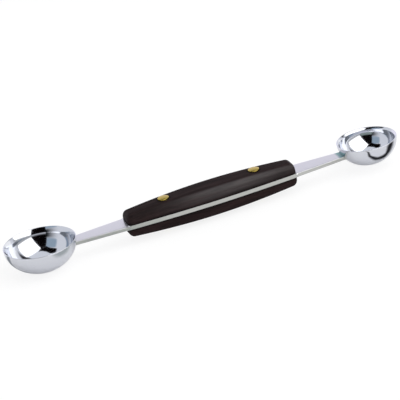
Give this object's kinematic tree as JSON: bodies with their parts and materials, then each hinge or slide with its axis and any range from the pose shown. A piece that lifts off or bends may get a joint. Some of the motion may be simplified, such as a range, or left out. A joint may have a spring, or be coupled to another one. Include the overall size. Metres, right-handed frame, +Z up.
{
  "type": "melon baller",
  "caption": "Double-ended melon baller: pressed steel bowls at both ends of a flat steel shank, with dark riveted scales around its middle.",
  "frame": {"origin": "midway between the two tips, on the tool's line of symmetry, level with the lowest edge of the large bowl", "axes": "+X along the tool towards the small bowl, +Z up out of the bowls' mouths"},
  "size_m": [0.1826, 0.032, 0.0157],
  "materials": {
    "polished_steel": "fine satin polish",
    "mirror_steel": "mirror polish",
    "dark_wood": "resin-filled laminate, soft sheen",
    "rivet_brass": "polished"
  },
  "bodies": {
    "root": {"shank": "polished_steel", "large_bowl": "mirror_steel", "small_bowl": "mirror_steel", "upper_scale": "dark_wood", "lower_scale": "dark_wood", "rivet_cap_1": "rivet_brass", "rivet_cap_2": "rivet_brass", "rivet_barrel_1": "rivet_brass", "rivet_barrel_2": "rivet_brass"}
  },
  "joints": []
}
